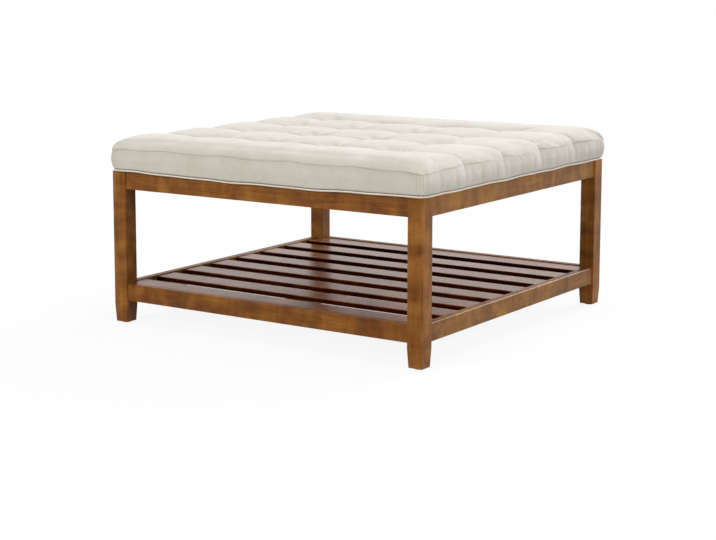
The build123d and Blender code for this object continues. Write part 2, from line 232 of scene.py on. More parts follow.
def stained_wood(name, axis, tones, roughness, shift=(0, 0, 0), gloss=wood_gloss):
    """Close-pored hardwood under a brown stain, its grain along one axis, with cross mottling."""
    material, tree, shader = new_material(name)

    def figure(size, **look):
        return noise(tree, grain_scale(axis, *size), shift=shift, **look)

    mottle = figure(mottle_size, detail=2, roughness=0.45, distortion=0.5)
    blotches = figure(blotch_size, detail=3, distortion=0.5)
    lines = figure(line_size, detail=4, roughness=0.6, distortion=0.15)
    pores = figure(pore_size, detail=3, roughness=0.7)
    shares = ((mottle, mottle_share), (blotches, blotch_share), (lines, line_share))
    grain = total(tree, *[scaled(tree, part, share) for part, share in shares])
    colour = ramp(tree, grain, list(zip(tone_places, tones)))
    pits = span(tree, pores, *pore_range, pore_shade, 1.0)
    colour = blend(tree, "MULTIPLY", 1.0, colour, pits)
    tree.links.new(colour, shader.inputs["Base Color"])
    worn = span(tree, lines, *noise_range, roughness - less_rough, roughness + more_rough)
    tree.links.new(worn, shader.inputs["Roughness"])
    shader.inputs["Specular IOR Level"].default_value = gloss
    shader.inputs["Specular Tint"].default_value = gloss_tint
    height = total(tree, scaled(tree, lines, 0.5), scaled(tree, pits, 0.5))
    bump(tree, shader, height, wood_relief, strength=0.5)
    return material


def slat_wood(name):
    """The same wood, its reflection painted stronger towards the back of the shelf, and its upright
    faces given painted shade over a darker stain.
    """
    material = stained_wood(name, 0, slat_tones, slat_roughness, shift=(0.7, 0, 0.2))
    tree = material.node_tree
    shader = next(node for node in tree.nodes if node.type == "BSDF_PRINCIPLED")
    place = parts_of(tree, object_place(tree))
    facing = facing_parts(tree)
    flat = span(tree, maths(tree, "ABSOLUTE", facing["Z"]), *level_range, 0, 1)
    # Faces that aren't level are darkened: painted shade over a darker stain, while level faces keep
    # their colour
    stain = shader.inputs["Base Color"].links[0].from_socket
    edges = blend(tree, "MIX", flat, slat_edge_painted_shade_and_stain, (1.0, 1.0, 1.0))
    tree.links.new(blend(tree, "MULTIPLY", 1.0, stain, edges), shader.inputs["Base Color"])
    # Gloss rises from front to back as a painted reflection, and upright faces get none, which adds to
    # their painted shade
    gloss = span(tree, place["Y"], *slat_gloss_reach, *slat_gloss_painted_front_to_back)
    tree.links.new(maths(tree, "MULTIPLY", gloss, flat), shader.inputs["Specular IOR Level"])
    return material


wood_along_x = stained_wood("stained_wood_x", 0, rail_tones, wood_roughness)
wood_along_y = stained_wood("stained_wood_y", 1, side_tones, wood_roughness, shift=(0.4, 0, 0.7))
leg_shift = (0.1, 0.5, 0)
wood_along_z = stained_wood("stained_wood_z", 2, leg_tones, wood_roughness, leg_shift, leg_gloss)
wood_slats = slat_wood("stained_wood_slats")

# Sizes of the other materials' textures and relief
sawn_grain_size = (0.12, 0.005)
saw_mark_size = 0.0015
sawn_relief = 0.0004
ply_grain_size = (0.3, 0.008, 0.02)
ply_pitch = 0.0056
ply_relief = 0.0003
spangle_size = 0.004
scratch_size = (0.0006, 0.0006, 0.006)
scratch_relief = 0.00005
spot_size = 0.0012
spot_relief = 0.0001
fibre_size = (0.002, 0.0007, 0.001)
dot_pitch = 0.003
dot_range = (0.15, 0.35)
dot_relief = 0.0003


def plain_wood(name, axis):
    """Plain wood of the hidden blocks and cleats, sawn and thinly stained."""
    material, tree, shader = new_material(name)
    grain = noise(tree, grain_scale(axis, *sawn_grain_size), distortion=0.3)
    saw_marks = noise(tree, even_scale(saw_mark_size), detail=2)
    colour = ramp(tree, grain, [(0.35, (0.24, 0.12, 0.05)), (0.65, (0.42, 0.24, 0.11))])
    tree.links.new(colour, shader.inputs["Base Color"])
    tree.links.new(span(tree, saw_marks, *noise_range, 0.55, 0.75), shader.inputs["Roughness"])
    bump(tree, shader, total(tree, grain, saw_marks), sawn_relief, strength=0.5)
    return material


def plywood():
    """Bare plywood: faint face grain, and plies in bands at the edges."""
    material, tree, shader = new_material("plywood")
    grain = noise(tree, scale_of(ply_grain_size), distortion=0.5)
    plies = tree.nodes.new("ShaderNodeTexWave")
    plies.bands_direction = "Z"
    plies.inputs["Scale"].default_value = 1 / ply_pitch
    plies.inputs["Distortion"].default_value = 0.4
    tree.links.new(object_place(tree), plies.inputs["Vector"])
    face = ramp(tree, grain, [(0.3, (0.46, 0.31, 0.17)), (0.7, (0.60, 0.44, 0.27))])
    colour = blend(tree, "MULTIPLY", 0.35, face, plies.outputs["Color"])
    tree.links.new(colour, shader.inputs["Base Color"])
    shader.inputs["Roughness"].default_value = 0.7
    bump(tree, shader, grain, ply_relief, strength=0.4)
    return material


def steel():
    """Zinc plated steel with a faint brushed and crystalline finish."""
    material, tree, shader = new_material("zinc_steel")
    spangle = noise(tree, even_scale(spangle_size), detail=3)
    scratches = noise(tree, scale_of(scratch_size), detail=3)
    colour = ramp(tree, spangle, [(0.3, (0.50, 0.50, 0.47)), (0.7, (0.66, 0.66, 0.64))])
    tree.links.new(colour, shader.inputs["Base Color"])
    shader.inputs["Metallic"].default_value = 1.0
    tree.links.new(span(tree, scratches, *noise_range, 0.28, 0.45), shader.inputs["Roughness"])
    bump(tree, shader, scratches, scratch_relief, strength=0.3)
    return material


def moulded_plastic():
    """Dark brown nylon with a fine moulded texture."""
    material, tree, shader = new_material("dark_plastic")
    spots = noise(tree, even_scale(spot_size), detail=2)
    colour = ramp(tree, spots, [(0.3, (0.016, 0.012, 0.010)), (0.7, (0.034, 0.026, 0.020))])
    tree.links.new(colour, shader.inputs["Base Color"])
    tree.links.new(span(tree, spots, *noise_range, 0.42, 0.58), shader.inputs["Roughness"])
    bump(tree, shader, spots, spot_relief, strength=0.5)
    return material


def black_cloth():
    """Spun non-woven cloth: matted fibres with small pressed dots."""
    material, tree, shader = new_material("black_cloth")
    fibres = noise(tree, scale_of(fibre_size), detail=5, roughness=0.7)
    dots = tree.nodes.new("ShaderNodeTexVoronoi")
    dots.inputs["Scale"].default_value = 1 / dot_pitch
    dots.inputs["Randomness"].default_value = 0.15
    tree.links.new(object_place(tree), dots.inputs["Vector"])
    pressed = span(tree, dots.outputs["Distance"], *dot_range, 0, 1)
    colour = ramp(tree, fibres, [(0.3, (0.010, 0.010, 0.010)), (0.7, (0.038, 0.036, 0.034))])
    tree.links.new(colour, shader.inputs["Base Color"])
    shader.inputs["Roughness"].default_value = 0.9
    shader.inputs["Sheen Weight"].default_value = 0.1
    bump(tree, shader, total(tree, fibres, pressed), dot_relief, strength=0.7)
    return material


# Linen: pitch of its threads, how far they wander, and the sizes of its slubs and clouds of tone
cover_thread = 0.0011
tape_thread = 0.0008
wander_size = 0.02
wander_angle = 6.0
facing_power = 4.0
slub_size = (0.035, 0.0012)
cloud_size = 0.06
slub_share = 0.6
cloud_share = 0.4
weave_share = 0.05
weave_relief = 0.00025


def linen(name, dark, light, thread=cover_thread):
    """Plain linen weave with slubs, as threads crossing on whichever two axes lie in the surface. It is
    worked out from place and facing, so it needs no unwrapping."""
    material, tree, shader = new_material(name)
    place = parts_of(tree, object_place(tree))
    facing = facing_parts(tree)
    wander = scaled(tree, noise(tree, even_scale(wander_size), detail=2), wander_angle)

    def threads(axis):
        phase = total(tree, scaled(tree, place[axis], 2 * math.pi / thread), wander)
        return maths(tree, "SINE", phase)

    def weight(axis):
        return maths(tree, "POWER", maths(tree, "ABSOLUTE", facing[axis]), facing_power)

    waves = {axis: threads(axis) for axis in "XYZ"}
    crossings = []
    for across, first, second in (("X", "Y", "Z"), ("Y", "X", "Z"), ("Z", "X", "Y")):
        crossing = maths(tree, "MULTIPLY", waves[first], waves[second])
        crossings.append(maths(tree, "MULTIPLY", crossing, weight(across)))
    weave = total(tree, *crossings)
    slubs = [noise(tree, grain_scale(axis, *slub_size), detail=3) for axis in range(3)]
    slub = scaled(tree, total(tree, *slubs), 1 / 3)
    clouds = noise(tree, even_scale(cloud_size), detail=3)
    shares = ((slub, slub_share), (clouds, cloud_share), (weave, weave_share))
    tone = total(tree, *[scaled(tree, part, share) for part, share in shares])
    tree.links.new(ramp(tree, tone, [(0.36, dark), (0.62, light)]), shader.inputs["Base Color"])
    shader.inputs["Roughness"].default_value = 0.92
    shader.inputs["Sheen Weight"].default_value = 0.35
    shader.inputs["Sheen Roughness"].default_value = 0.4
    shader.inputs["Specular IOR Level"].default_value = 0.3
    bump(tree, shader, total(tree, scaled(tree, weave, 0.5), slub), weave_relief, strength=0.6)
    return material


cover_linen = linen("linen_cover", (0.625, 0.588, 0.512), (0.735, 0.698, 0.632))
piping_linen = linen("linen_piping", (0.78, 0.70, 0.60), (0.92, 0.85, 0.75))
tape_weave = linen("tie_tape", (0.55, 0.53, 0.46), (0.70, 0.68, 0.60), tape_thread)


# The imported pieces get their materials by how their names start. What no start fits is metal.
block_wood = plain_wood("plain_wood", 0)
zinc = steel()
materials = {
    "leg_": wood_along_z,
    "upper_rail_front": wood_along_x,
    "upper_rail_back": wood_along_x,
    "lower_rail_front": wood_along_x,
    "lower_rail_back": wood_along_x,
    "upper_rail_": wood_along_y,
    "lower_rail_": wood_along_y,
    "slat_screws": zinc,
    "slat_": wood_slats,
    "upper_corner_block": block_wood,
    "lower_corner_block": block_wood,
    "rail_dowels": block_wood,
    "shelf_": plain_wood("plain_wood_y", 1),
    "foot_glide": moulded_plastic(),
    "cushion_board": plywood(),
    "dust_cover": black_cloth(),
    "tuft_ties": tape_weave,
}
for name, piece in nodes.items():
    material = next((chosen for start, chosen in materials.items() if name.startswith(start)), zinc)
    piece.data.materials.clear()
    piece.data.materials.append(material)


# Cushion: levels and half sides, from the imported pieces' own boxes
board_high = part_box("cushion_board")[1]
panel_low, panel_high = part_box("cushion_top_panel")
front_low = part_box("cushion_boxing_front")[0]
piping_low, piping_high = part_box("cushion_piping")
crown_drop = 0.005
seam_overhang = 0.0022
board_gap = 0.0006
board_top = board_high[2]
seam_level = panel_low[2]
crown_level = panel_high[2] - crown_drop
boxing_bottom = front_low[2]
widest_half = -front_low[1]
edge_half = piping_high[0]
board_half = board_high[0]
seam_half = edge_half + seam_overhang
boxing_depth = seam_level - boxing_bottom

# Pillows of the tufted panel: their cells, how far the middles stand over the channels, and the pits
# at the tufts. A fade is where a change starts and where it is complete, here in metres from the
# cushion's middle.
pillow_count = 5
pitch = 2 * widest_half / pillow_count
cells_per_half_pillow = 13
cell = pitch / 2 / cells_per_half_pillow
denser_share = 0.42
denser_fade = (0.30, 0.37)
row_rise = 0.0095
column_rise = 0.0036
side_end_rise = 0.0080
side_end_fade = (0.32, 0.41)
front_end_rise = 0.0008
front_end_fade = (0.28, 0.38)
pit_depth = 0.0070
pit_radius = 0.022

# Rounded shoulder between the panel's flat and the seam, steep on the front and back. Its fade and those
# of the seam, folds, ripples and bottom edge are shares of the half side. A place counts as left or
# right by how far it faces that way, and rings get round corners from a distance in metres on.
shoulder_width = 0.070
shoulder_over_crown = 0.002
shoulder_height = crown_level + shoulder_over_crown - seam_level
shoulder_fullness = 0.86
shoulder_blend = 0.006
flat_half = seam_half - shoulder_width
front_round = 0.017
side_turn_range = (0.5, 0.9)
steep_fade = (0.87, 0.98)
corner_radius = 0.020
corner_round_from = 0.30

# Rows and columns of points beside the top seam and the corner seams, which lie a little round on the
# front and back. Columns draw together over shares of the way out to the top seam.
seam_rows = (0.0010, 0.0026, 0.0052)
first_plain_row = 0.010
plain_row_count = 7
corner_seam_place = 0.0090
corner_columns = (0, 0.0020, 0.0040, 0.0064, 0.0078, 0.0090, 0.0102, 0.0116, 0.0140, 0.0160, 0.0180)
corner_columns_fade = (0.90, 0.99)

# Waves of the top seam, and folds, bulge and ripples in the boxing. A ripple, like a wave of the bottom
# edge, is a length, an angle that it starts with and a size.
side_seam_wave = 0.0028
front_seam_wave = 0.0034
corner_dip = 0.005
seam_corner_fade = (0.86, 0.985)
seam_wave_reach = 0.025
side_fold = 0.0080
front_fold = 0.0012
fold_sharpness = 2.2
fold_fade = (0.80, 0.96)
side_bulge = 0.0044
front_bulge = 0.0002
side_ripple = 0.0006
front_ripple = 0.0003
ripples = ((0.061, 0.5, 0.9), (0.037, 2.1, 0.6), (0.023, 4.0, 0.4))
ripple_fade = (0.90, 0.98)

# Rolled bottom edge over the piping, which waves, and sags on the front and back
roll_height = 0.0034
roll_inset = 0.0045
roll_turns = (0.0, 0.30, 0.55, 0.80, 1.0)
piping_gap = 0.0005
hem_waves = ((0.215, 0.6, 0.0007), (0.124, 2.2, 0.0004))
hem_wave_fade = (0.78, 0.90)
hem_sag = 0.0045
hem_sag_fade = (0.30, 0.88)
hem_reach = 0.030
hem_full_reach = 0.006
under_mark = 0.01

# Cloth simulation: its length and pressure, how firmly the cover is held, and the most that it moves,
# which is less beside the front and back edges. The fades are in metres: past the line between front
# and sides, and inwards from the top seam.
simulated_frames = 20
cushion_pressure = 2.0
cloth_slack = 0.01
boxing_hold = 0.6
full_hold = 1.0
seam_hold_reach = 0.0005
tuft_hold_radius = 0.006
hem_hold_reach = 0.008
most_moved = 0.004
less_at_front = 0.003
front_side_fade = (0, 0.05)
front_edge_fade = (0.025, 0.060)

# Creases, seam lips and grooves pressed into the finished cover. Creases fade in metres from the top
# seam and from the middle, and on the left and right sides the lip fades over shares of each pillow.
crease_width = 0.0095
crease_depth = 0.0006
crease_panel_fade = (0.002, 0.008)
crease_end_fade = (0.32, 0.40)
tuft_crease_depth = 0.0095
tuft_crease_reach = (0.078, 0.018)
end_crease_depth = 0.0010
front_crease_share = 0.35
side_seam_lip = 0.0012
front_seam_lip = 0.0021
seam_lip_fade = (0.50, 0.80)
lip_width = 0.0034
lip_reach = 0.030
corner_groove = 0.0022
corner_groove_width = 0.0034
groove_start = 0.002
stitch_offset = 0.0070
stitch_groove = 0.0011
stitch_groove_width = 0.002


def smooth_share(value, start, end):
    """0 up to start, 1 from end on, and a smooth rise between."""
    share = np.clip((value - start) / (end - start), 0, 1)
    return share * share * (3 - 2 * share)


def fold_share(along):
    """0 in the middle of a pillow, 1 at a channel."""
    place = along / pitch + pillow_count / 2
    return np.abs(2 * (place - np.floor(place)) - 1)


def past_channel(along):
    """How far past the nearest channel a place is, the outer edges not counted."""
    last = pitch * (pillow_count / 2 - 1)
    return along - np.clip((np.round(along / pitch - 0.5) + 0.5) * pitch, -last, last)


def channel_gap(along):
    return np.abs(past_channel(along))


def denser(along):
    """Draws evenly spaced places together beside the channels, but not in the shoulders."""
    inside = 1 - smooth_share(np.abs(along), *denser_fade)
    return along + inside * denser_share * pitch / (2 * math.pi) * np.sin(2 * math.pi * along / pitch)


def half_length(half, radius):
    """Length of a rounded square's side from its middle to the middle of its corner."""
    return half - radius + radius * math.pi / 4


def rounded_side(half, radius, share):
    """Places on a rounded square's front side, share from -1 to 1 along it, and what faces out."""
    straight = half - radius
    run = np.abs(share) * half_length(half, radius)
    turn = np.clip((run - straight) / max(radius, tiny), 0, math.pi / 4)
    x = np.where(run <= straight, run, straight + radius * np.sin(turn))
    y = np.where(run <= straight, half, straight + radius * np.cos(turn))
    sign = np.sign(share)
    return sign * x, -y, sign * np.sin(turn), -np.cos(turn)


def turned(x, y, quarter):
    """Places or directions turned about the middle by quarters of a circle."""
    cos = round(math.cos(quarter * math.pi / 2))
    sin = round(math.sin(quarter * math.pi / 2))
    return cos * x - sin * y, sin * x + cos * y


def smooth_least(first, second, width):
    """The lesser of two heights, blended over a width."""
    share = np.clip(0.5 + 0.5 * (second - first) / width, 0, 1)
    return second + (first - second) * share - width * share * (1 - share)


def ring_distances():
    """Distances from the middle of the panel out to the seam, closer together beside it, and the whole
    of the way."""
    shoulder_run = math.pi * math.sqrt((shoulder_width**2 + shoulder_height**2) / 8)
    flat_rows = np.arange(0, flat_half, cell)
    whole = flat_half + shoulder_run
    inner = whole - seam_rows[-1]
    count = round((inner - flat_rows[-1]) / cell)
    shoulder_rows = np.linspace(flat_rows[-1], inner, count + 1)[1:]
    return [*flat_rows, *shoulder_rows, *[whole - row for row in seam_rows[-2::-1]], whole], whole


def shape_of(distance, whole):
    """Half side and corner radius of the top panel's outline at a distance from the middle, and the
    angle that it has come round the shoulder's arc."""
    if distance <= flat_half:
        fade = float(smooth_share(distance, corner_round_from, flat_half))
        return distance, (corner_radius + shoulder_width / 2) * fade, 0.0
    angle = (distance - flat_half) / (whole - flat_half) * math.pi / 2
    half = flat_half + shoulder_width * math.sin(angle) ** shoulder_fullness
    return half, corner_radius + (seam_half - half) / 2, angle


def side_mix(outs, on_sides, on_front):
    """A value that differs between the left and right sides and the front and back."""
    share = smooth_share(np.abs(outs[:, 0]), *side_turn_range)
    return on_front + (on_sides - on_front) * share


def steep_front(along, half, outs, angle):
    """How far out a place is pushed to make the front and back shoulders steep, and its height over the
    seam: a narrow arc there, and flat behind it."""
    quarter_run = math.pi * math.sqrt((front_round**2 + shoulder_height**2) / 8)
    steep_run = quarter_run + shoulder_width - front_round
    from_seam = (1 - angle / (math.pi / 2)) * steep_run
    turn = min(from_seam / quarter_run, 1) * math.pi / 2
    inset = front_round * (1 - math.cos(turn)) + max(from_seam - quarter_run, 0)
    away = 1 - smooth_share(np.abs(along) / half, *steep_fade)
    share = side_mix(outs, 0, 1) * away
    plain_rise = shoulder_height * max(math.cos(angle), 0.0) ** shoulder_fullness
    rise = plain_rise + (shoulder_height * math.sin(turn) - plain_rise) * share
    return (min(seam_half - half, shoulder_width) - inset) * share, rise


def ring_places(half, radius, count, near_corner):
    """Places round one outline from the front left corner on, what faces out there, how far each is
    from a corner, which counts as minus on the left and right sides, and how far along its side.
    Near a corner they come closer together, onto its columns."""
    length = half_length(half, radius)
    steps = np.arange(-count, count)
    back = count - np.abs(steps)
    even = back * length / count
    known = np.array(corner_columns)
    inside = back < len(known)
    drawn = np.where(inside, known[np.minimum(back, len(known) - 1)], 0)
    rest = (back - len(known) + 1) / max(count - len(known) + 1, 1)
    drawn = np.where(inside, drawn, known[-1] + rest * (length - known[-1]))
    from_corner = even + (drawn - even) * near_corner
    share = np.sign(steps) * (1 - from_corner / length)
    x, y, out_x, out_y = rounded_side(half, radius, share)
    x, y = denser(x), denser(y)
    places, outs, corner = [], [], []
    for quarter in range(4):
        places.append(np.stack(turned(x, y, quarter), axis=1))
        outs.append(np.stack(turned(out_x, out_y, quarter), axis=1))
        corner.append(from_corner * (1 if quarter % 2 == 0 else -1))
    return np.concatenate(places), np.concatenate(outs), np.concatenate(corner), np.tile(x, 4)


def drawn_in(along, half, outs, share):
    """How far an outline is drawn in at the channels, less near its corners."""
    near_corner = smooth_share(np.abs(along) / half, *fold_fade)
    depth = share * side_mix(outs, side_fold, front_fold)
    return depth * fold_share(along) ** fold_sharpness * (1 - near_corner)


def seam_wave(along, outs):
    """How far the seam rises at the channels and sinks in mid pillow and at the corners."""
    near_corner = smooth_share(np.abs(along) / edge_half, *seam_corner_fade)
    wave = side_mix(outs, side_seam_wave, front_seam_wave) * (fold_share(along) ** 2 - 0.5)
    return wave * (1 - near_corner) - corner_dip * near_corner


def wave_sum(along, waves):
    """Sum of waves that are each a length, an angle that it starts with and a size."""
    return sum(size * np.sin(2 * math.pi * along / length + start) for length, start, size in waves)


def ripple(along, half, outs):
    """Soft upright waves in the boxing, stronger on the left and right."""
    away = 1 - smooth_share(np.abs(along) / half, *ripple_fade)
    return side_mix(outs, side_ripple, front_ripple) * wave_sum(along, ripples) * away


def hem_wave(along, sag):
    """How far the sewn bottom edge and its piping rise and sink in waves along a side, and sag in its
    middle, but not at the corners."""
    place = np.abs(along) / edge_half
    waves = wave_sum(along, hem_waves) * (1 - smooth_share(place, *hem_wave_fade))
    return waves - sag * (1 - smooth_share(place, *hem_sag_fade))


def pillow_height(x, y):
    """Height of the tufted panel: an arc for each pillow both ways, and a pit at each tuft."""
    side_end = smooth_share(np.abs(x), *side_end_fade)
    front_end = smooth_share(np.abs(y), *front_end_fade)
    rise_between_rows = row_rise + (side_end_rise - row_rise) * side_end
    rise_between_columns = column_rise + (front_end_rise - column_rise) * front_end
    pit = np.exp(-(channel_gap(x) ** 2 + channel_gap(y) ** 2) / pit_radius**2)
    return (
        crown_level
        - rise_between_rows * fold_share(y) ** 2
        - rise_between_columns * fold_share(x) ** 2
        - pit_depth * pit
    )


def boxing_rows():
    """Rows down the boxing: distance below the seam and half side, with a rolled bottom edge."""
    bottom_row = boxing_depth - piping_gap
    plain = np.linspace(first_plain_row, bottom_row - 2 * roll_height, plain_row_count)
    rows = []
    for row in (*seam_rows, *plain):
        rows.append((row, seam_half + (edge_half - seam_half) * (row / bottom_row)))
    for turn in roll_turns:
        angle = turn * math.pi / 2
        row = bottom_row - roll_height * (1 - math.sin(angle))
        rows.append((row, edge_half - roll_inset * (1 - math.cos(angle))))
    return rows


def cushion_mesh(name):
    """Cushion cover as rings: the panel from its middle out, the boxing down, and under."""
    distances, whole = ring_distances()
    seam_ring = len(distances) - 1
    places = [np.array([[0.0, 0.0, crown_level]])]
    seam_distance, corner_distance, starts = [-whole], [widest_half], [0]

    def add_ring(plan, height, row, corner):
        starts.append(len(seam_distance))
        places.append(np.column_stack([plan, height]))
        seam_distance.extend([row] * len(plan))
        corner_distance.extend(corner)

    for ring, distance in enumerate(distances[1:], start=1):
        half, radius, angle = shape_of(distance, whole)
        nearness = float(smooth_share(distance / whole, *corner_columns_fade))
        plan, outs, corner, along = ring_places(half, radius, ring, nearness)
        outer = (distance - flat_half) / (whole - flat_half)
        push, rise = steep_front(along, half, outs, angle)
        plan = plan + outs * (push - drawn_in(along, half, outs, max(outer, 0.0)))[:, None]
        pillows = pillow_height(plan[:, 0], plan[:, 1])
        height = smooth_least(pillows, seam_level + rise, shoulder_blend)
        close = math.exp(-(((whole - distance) / seam_wave_reach) ** 2))
        add_ring(plan, height + seam_wave(along, outs) * close, distance - whole, corner)
    for row, half in boxing_rows():
        plan, outs, corner, along = ring_places(half, corner_radius, seam_ring, 1.0)
        down = row / boxing_depth
        plan = plan - outs * drawn_in(along, half, outs, 1 - down)[:, None]
        bulge = side_mix(outs, side_bulge, front_bulge) + ripple(along, half, outs)
        plan = plan + outs * (bulge * math.sin(math.pi * down))[:, None]
        close = math.exp(-((row / seam_wave_reach) ** 2))
        near_hem = smooth_share(row, boxing_depth - hem_reach, boxing_depth - hem_full_reach)
        hem = hem_wave(along, side_mix(outs, 0, hem_sag)) * near_hem
        add_ring(plan, seam_level - row + seam_wave(along, outs) * close + hem, row, corner)
    for height in (boxing_bottom, board_top + board_gap):
        plan, _, corner, _ = ring_places(board_half + board_gap, corner_radius, seam_ring, 1.0)
        add_ring(plan, np.full(len(plan), height), boxing_depth + under_mark, corner)

    faces = []
    for ring in range(1, seam_ring + 1):
        faces += ring_faces(starts, ring)
    size = 8 * seam_ring
    for inner, outer in zip(starts[seam_ring:], starts[seam_ring + 1 :]):
        for here in range(size):
            there = (here + 1) % size
            faces.append((inner + here, outer + here, outer + there, inner + there))
    mesh = bpy.data.meshes.new(name)
    mesh.from_pydata(np.concatenate(places).tolist(), [], faces)
    marks = {"seam_distance": seam_distance, "corner_distance": corner_distance}
    for attribute, values in marks.items():
        data = mesh.attributes.new(attribute, "FLOAT", "POINT")
        data.data.foreach_set("value", np.array(values, dtype=np.float32))
    return mesh


def ring_faces(starts, ring):
    """Faces between one square ring of the panel and the next one in."""
    outer, inner = starts[ring], starts[ring - 1]
    outer_size, inner_size = 8 * ring, 8 * (ring - 1)
    faces = []
    for quarter in range(4):
        corner, inner_corner = 2 * ring * quarter, 2 * (ring - 1) * quarter
        before = outer + (corner - 1) % outer_size
        faces.append((before, outer + corner, outer + corner + 1, inner + inner_corner))
        for step in range(1, 2 * ring - 1):
            first, second = outer + corner + step, outer + (corner + step + 1) % outer_size
            third, fourth = inner + (inner_corner + step) % inner_size, inner + inner_corner + step - 1
            faces.append((first, second, third, fourth))
    return faces


def read_points(mesh, name="position", width=3):
    """A point attribute as an array, position among them."""
    values = np.empty(len(mesh.vertices) * width, dtype=np.float32)
    key = "vector" if width == 3 else "value"
    mesh.attributes[name].data.foreach_get(key, values)
    return values.reshape(-1, width).astype(float) if width == 3 else values.astype(float)


def write_points(mesh, points):
    mesh.vertices.foreach_set("co", np.asarray(points, dtype=np.float32).ravel())
    mesh.update()


def point_normals(mesh):
    values = np.empty(len(mesh.vertices) * 3, dtype=np.float32)
    mesh.vertex_normals.foreach_get("vector", values)
    return values.reshape(-1, 3).astype(float)


def apply_modifiers(piece):
    """Keeps the evaluated mesh and drops the modifiers."""
    graph = bpy.context.evaluated_depsgraph_get()
    graph.update()
    made = bpy.data.meshes.new_from_object(piece.evaluated_get(graph), depsgraph=graph)
    piece.modifiers.clear()
    piece.data = made


def puff(piece, pins, frames, pressure, slack, most):
    """Cloth simulation under pressure without gravity, its movement capped, then applied."""
    start = read_points(piece.data)
    group = piece.vertex_groups.new(name="pins")
    for weight in np.unique(pins[pins > 0]):
        group.add(np.nonzero(pins == weight)[0].tolist(), float(weight), "REPLACE")
    cloth = piece.modifiers.new("cloth", "CLOTH")
    cloth.point_cache.frame_start = 1
    cloth.point_cache.frame_end = frames
    settings = cloth.settings
    settings.quality = 5
    settings.mass = 0.3
    settings.tension_stiffness = 20
    settings.compression_stiffness = 20
    settings.shear_stiffness = 8
    settings.bending_stiffness = 0.5
    settings.use_pressure = True
    settings.uniform_pressure_force = pressure
    settings.shrink_min = -slack
    settings.vertex_group_mass = "pins"
    settings.pin_stiffness = 1.0
    settings.effector_weights.gravity = 0
    cloth.collision_settings.use_collision = False
    scene = bpy.context.scene
    for step in range(1, frames + 1):
        scene.frame_set(step)
    graph = bpy.context.evaluated_depsgraph_get()
    moved = read_points(piece.evaluated_get(graph).data) - start
    piece.modifiers.clear()
    piece.vertex_groups.clear()
    scene.frame_set(1)
    length = np.linalg.norm(moved, axis=1)
    moved *= (most * np.tanh(length / most) / np.maximum(length, tiny))[:, None]
    write_points(piece.data, start + moved)


def press_creases(mesh):
    """Presses the creases, corner seams and stitch lines into the finished cover, and sets the boxing
    in under the panel's lip at the top seam."""
    points, normals = read_points(mesh), point_normals(mesh)
    below_seam = read_points(mesh, "seam_distance", 1)
    from_corner = np.abs(read_points(mesh, "corner_distance", 1) - corner_seam_place)
    depth = np.zeros(len(points))
    panel = smooth_share(-below_seam, *crease_panel_fade)
    for across, along, share in ((1, 0, 1.0), (0, 1, front_crease_share)):
        near = np.clip(1 - channel_gap(points[:, across]) / crease_width, 0, 1) ** 2
        past_tuft = past_channel(points[:, along])
        reach = np.where(past_tuft < 0, *tuft_crease_reach)
        tuft = np.exp(-(np.abs(past_tuft / reach) ** 3))
        end = smooth_share(np.abs(points[:, along]), *crease_end_fade)
        middle = crease_depth + tuft_crease_depth * tuft
        crease = middle + (end_crease_depth * share - middle) * end
        depth = np.maximum(depth, panel * near * crease)
    on_sides = np.abs(points[:, 0]) > np.abs(points[:, 1])
    place = np.where(on_sides, points[:, 1] / pitch + pillow_count / 2, 0)
    shown = 1 - smooth_share(place - np.floor(place), *seam_lip_fade)
    lip = np.clip(1 + below_seam / lip_width, 0, 1) ** 2
    set_in = 1 - smooth_share(below_seam, 0, lip_reach)
    seam_lip = np.where(on_sides, side_seam_lip, front_seam_lip)
    depth += shown * seam_lip * np.where(below_seam < 0, lip, set_in)
    boxing = smooth_share(below_seam, 0.0, groove_start) * (below_seam < boxing_depth)
    depth += boxing * corner_groove * np.clip(1 - from_corner / corner_groove_width, 0, 1) ** 2
    from_stitches = np.abs(from_corner - stitch_offset)
    depth += boxing * stitch_groove * np.clip(1 - from_stitches / stitch_groove_width, 0, 1)
    write_points(mesh, points - normals * depth[:, None])


def close_underside(piece):
    """One flat face over the open loop that rests on the board."""
    shape = bmesh.new()
    shape.from_mesh(piece.data)
    rim = [edge for edge in shape.edges if edge.is_boundary]
    bmesh.ops.contextual_create(shape, geom=rim)
    bmesh.ops.recalc_face_normals(shape, faces=shape.faces)
    shape.to_mesh(piece.data)
    shape.free()


def subdivide(piece):
    modifier = piece.modifiers.new("subdivision", "SUBSURF")
    modifier.levels = 1
    modifier.render_levels = 1
    apply_modifiers(piece)


def add_piece(name, mesh, material, body="root"):
    """A visible piece of one mesh and material that rides on a body."""
    piece = bpy.data.objects.new(name, mesh)
    bpy.context.collection.objects.link(piece)
    mesh.materials.clear()
    mesh.materials.append(material)
    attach(piece, body)
    return piece


cushion = add_piece("cushion", cushion_mesh("cushion"), cover_linen)
points = read_points(cushion.data)
seam_gap = read_points(cushion.data, "seam_distance", 1)
tuft_gap = np.hypot(channel_gap(points[:, 0]), channel_gap(points[:, 1]))
pins = np.zeros(len(points))
pins[seam_gap > -seam_hold_reach] = boxing_hold
pins[(seam_gap < 0) & (tuft_gap < tuft_hold_radius)] = full_hold
pins[seam_gap > boxing_depth - hem_hold_reach] = full_hold
on_front = smooth_share(np.abs(points[:, 1]) - np.abs(points[:, 0]), *front_side_fade)
near_edge = 1 - smooth_share(-seam_gap, *front_edge_fade)
most = most_moved - less_at_front * on_front * near_edge
puff(cushion, pins, simulated_frames, cushion_pressure, cloth_slack, most)
subdivide(cushion)
press_creases(cushion.data)
close_underside(cushion)
for polygon in cushion.data.polygons:
    polygon.use_smooth = True
boxing_names = [f"cushion_boxing_{side}" for side in ("front", "back", "left", "right")]
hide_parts("cushion_top_panel", "cushion_foam", *boxing_names)


